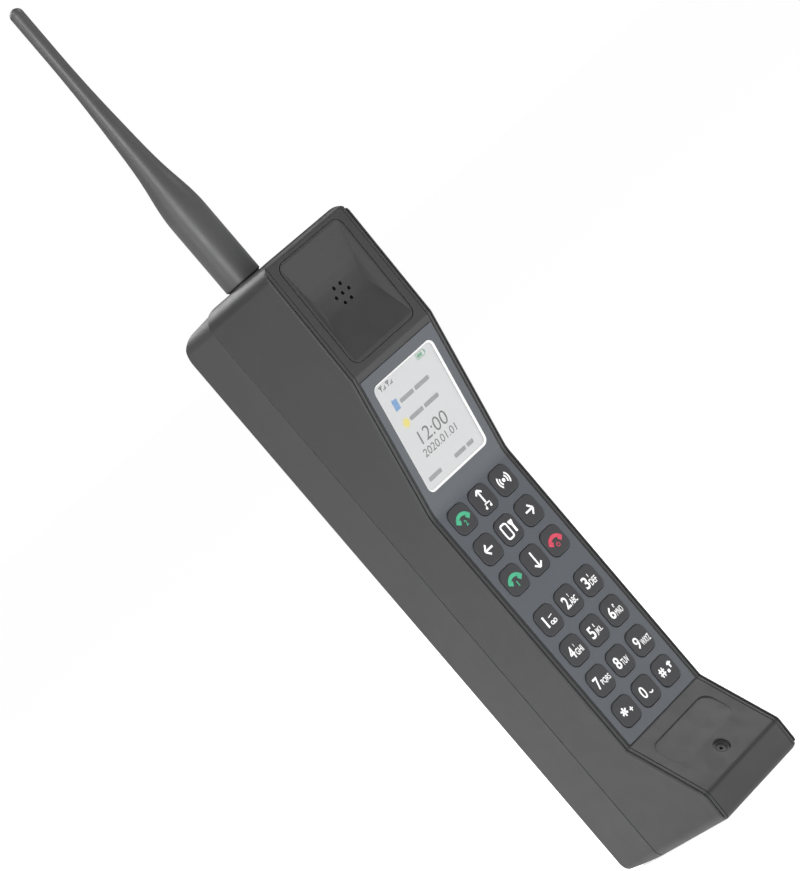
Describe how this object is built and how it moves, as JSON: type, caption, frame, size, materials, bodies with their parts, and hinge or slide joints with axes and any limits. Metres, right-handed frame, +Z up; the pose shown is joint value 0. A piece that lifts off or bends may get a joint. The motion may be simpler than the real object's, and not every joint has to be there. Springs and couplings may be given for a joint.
{
  "type": "mobile phone",
  "caption": "Upright brick-style mobile phone with a sloped colour display, raised earpiece, angled chin, press keys and a screw-in tapered antenna.",
  "frame": {"origin": "middle of the foot that the phone stands on", "axes": "+Z up along the antenna, +Y to the back, +X to the right seen from the front"},
  "size_m": [0.0388, 0.0515, 0.2998],
  "materials": {
    "front_shell_plastic": "fine moulded texture, satin",
    "rear_shell_plastic": "fine moulded texture, satin",
    "fascia_plastic": "satin",
    "display_window": "clear, polished",
    "foam": "open foam",
    "display_module": "lit colour display",
    "pressed_steel": "tinned",
    "flexible_circuit": "amber film",
    "silicone": "matt",
    "circuit_board": "solder resist",
    "screw_steel": "zinc plated",
    "black_epoxy": "matt",
    "speaker_frame": "matt",
    "lead_insulation": "smooth",
    "battery_wrap": "printed film",
    "gold_contacts": "gold flashed",
    "antenna_rubber": "moulded, satin",
    "brass": "turned",
    "washer_nylon": "matt",
    "torch_plastic": "clear",
    "lamp_resin": "clear resin",
    "key_plastic": "satin, white printed legends"
  },
  "bodies": {
    "root": {"front_shell": "front_shell_plastic", "rear_shell": "rear_shell_plastic", "fascia_panel": "fascia_plastic", "display_lens": "display_window", "display_gasket": "foam", "earpiece_gasket": "foam", "lcd_module": "display_module", "lcd_frame": "pressed_steel", "lcd_flex": "flexible_circuit", "keypad_mat": "silicone", "mic_boot": "silicone", "snap_domes": "pressed_steel", "main_board": "circuit_board", "battery_board": "circuit_board", "board_screws": "screw_steel", "shell_screws": "screw_steel", "shield_cans": "pressed_steel", "chips": "black_epoxy", "usb_socket": "pressed_steel", "vibration_motor": "pressed_steel", "earpiece_speaker": "speaker_frame", "loudspeaker": "speaker_frame", "speaker_leads": "lead_insulation", "mic_leads": "lead_insulation", "microphone": "pressed_steel", "battery_pack": "battery_wrap", "battery_contacts": "gold_contacts", "sim_sockets": "pressed_steel", "antenna_insert": "brass", "antenna_contact": "gold_contacts", "torch_lens": "torch_plastic", "torch_led": "lamp_resin"},
    "battery_cover": {"battery_cover": "rear_shell_plastic"},
    "antenna_lift": {"antenna_washer": "washer_nylon"},
    "antenna": {"antenna_sleeve": "antenna_rubber", "antenna_core": "brass", "antenna_stud": "brass"},
    "rotor": {"motor_shaft": "screw_steel", "vibration_weight": "screw_steel"},
    "key_call_one": {"key_call_one": "key_plastic"},
    "key_up": {"key_up": "key_plastic"},
    "key_radio": {"key_radio": "key_plastic"},
    "key_left": {"key_left": "key_plastic"},
    "key_ok": {"key_ok": "key_plastic"},
    "key_right": {"key_right": "key_plastic"},
    "key_call_two": {"key_call_two": "key_plastic"},
    "key_down": {"key_down": "key_plastic"},
    "key_end": {"key_end": "key_plastic"},
    "key_1": {"key_1": "key_plastic"},
    "key_2": {"key_2": "key_plastic"},
    "key_3": {"key_3": "key_plastic"},
    "key_4": {"key_4": "key_plastic"},
    "key_5": {"key_5": "key_plastic"},
    "key_6": {"key_6": "key_plastic"},
    "key_7": {"key_7": "key_plastic"},
    "key_8": {"key_8": "key_plastic"},
    "key_9": {"key_9": "key_plastic"},
    "key_star": {"key_star": "key_plastic"},
    "key_0": {"key_0": "key_plastic"},
    "key_hash": {"key_hash": "key_plastic"}
  },
  "joints": [
    {"name": "key_call_one_press", "type": "slide", "parent": "root", "child": "key_call_one", "axis": [0, 1, 0], "range_m": [0, 0.00045], "stiffness_N_per_m": 1200},
    {"name": "key_up_press", "type": "slide", "parent": "root", "child": "key_up", "axis": [0, 1, 0], "range_m": [0, 0.00045], "stiffness_N_per_m": 1200},
    {"name": "key_radio_press", "type": "slide", "parent": "root", "child": "key_radio", "axis": [0, 1, 0], "range_m": [0, 0.00045], "stiffness_N_per_m": 1200},
    {"name": "key_left_press", "type": "slide", "parent": "root", "child": "key_left", "axis": [0, 1, 0], "range_m": [0, 0.00045], "stiffness_N_per_m": 1200},
    {"name": "key_ok_press", "type": "slide", "parent": "root", "child": "key_ok", "axis": [0, 1, 0], "range_m": [0, 0.00045], "stiffness_N_per_m": 1200},
    {"name": "key_right_press", "type": "slide", "parent": "root", "child": "key_right", "axis": [0, 1, 0], "range_m": [0, 0.00045], "stiffness_N_per_m": 1200},
    {"name": "key_call_two_press", "type": "slide", "parent": "root", "child": "key_call_two", "axis": [0, 1, 0], "range_m": [0, 0.00045], "stiffness_N_per_m": 1200},
    {"name": "key_down_press", "type": "slide", "parent": "root", "child": "key_down", "axis": [0, 1, 0], "range_m": [0, 0.00045], "stiffness_N_per_m": 1200},
    {"name": "key_end_press", "type": "slide", "parent": "root", "child": "key_end", "axis": [0, 1, 0], "range_m": [0, 0.00045], "stiffness_N_per_m": 1200},
    {"name": "key_1_press", "type": "slide", "parent": "root", "child": "key_1", "axis": [0, 1, 0], "range_m": [0, 0.00045], "stiffness_N_per_m": 1200},
    {"name": "key_2_press", "type": "slide", "parent": "root", "child": "key_2", "axis": [0, 1, 0], "range_m": [0, 0.00045], "stiffness_N_per_m": 1200},
    {"name": "key_3_press", "type": "slide", "parent": "root", "child": "key_3", "axis": [0, 1, 0], "range_m": [0, 0.00045], "stiffness_N_per_m": 1200},
    {"name": "key_4_press", "type": "slide", "parent": "root", "child": "key_4", "axis": [0, 1, 0], "range_m": [0, 0.00045], "stiffness_N_per_m": 1200},
    {"name": "key_5_press", "type": "slide", "parent": "root", "child": "key_5", "axis": [0, 1, 0], "range_m": [0, 0.00045], "stiffness_N_per_m": 1200},
    {"name": "key_6_press", "type": "slide", "parent": "root", "child": "key_6", "axis": [0, 1, 0], "range_m": [0, 0.00045], "stiffness_N_per_m": 1200},
    {"name": "key_7_press", "type": "slide", "parent": "root", "child": "key_7", "axis": [0, 1, 0], "range_m": [0, 0.00045], "stiffness_N_per_m": 1200},
    {"name": "key_8_press", "type": "slide", "parent": "root", "child": "key_8", "axis": [0, 1, 0], "range_m": [0, 0.00045], "stiffness_N_per_m": 1200},
    {"name": "key_9_press", "type": "slide", "parent": "root", "child": "key_9", "axis": [0, 1, 0], "range_m": [0, 0.00045], "stiffness_N_per_m": 1200},
    {"name": "key_star_press", "type": "slide", "parent": "root", "child": "key_star", "axis": [0, 1, 0], "range_m": [0, 0.00045], "stiffness_N_per_m": 1200},
    {"name": "key_0_press", "type": "slide", "parent": "root", "child": "key_0", "axis": [0, 1, 0], "range_m": [0, 0.00045], "stiffness_N_per_m": 1200},
    {"name": "key_hash_press", "type": "slide", "parent": "root", "child": "key_hash", "axis": [0, 1, 0], "range_m": [0, 0.00045], "stiffness_N_per_m": 1200},
    {"name": "battery_cover_lift", "type": "slide", "parent": "root", "child": "battery_cover", "axis": [0, 1, 0], "range_m": [0, 0.014]},
    {"name": "antenna_rise", "type": "slide", "parent": "root", "child": "antenna_lift", "axis": [0, 0, 1], "range_m": [0, 0.0105]},
    {"name": "antenna_turn", "type": "hinge", "parent": "antenna_lift", "child": "antenna", "pos_m": [-0.00855, -0.0035, 0.2], "axis": [0, 0, 1], "range_deg": [0, 5401]},
    {"name": "motor_spin", "type": "hinge", "parent": "root", "child": "rotor", "pos_m": [0.0152, -0.0047, 0.136], "axis": [1, 0, 0], "continuous": true}
  ],
  "couplings": [
    {"joint": "antenna_turn", "follows": "antenna_rise", "rad_per_m": 8976}
  ]
}
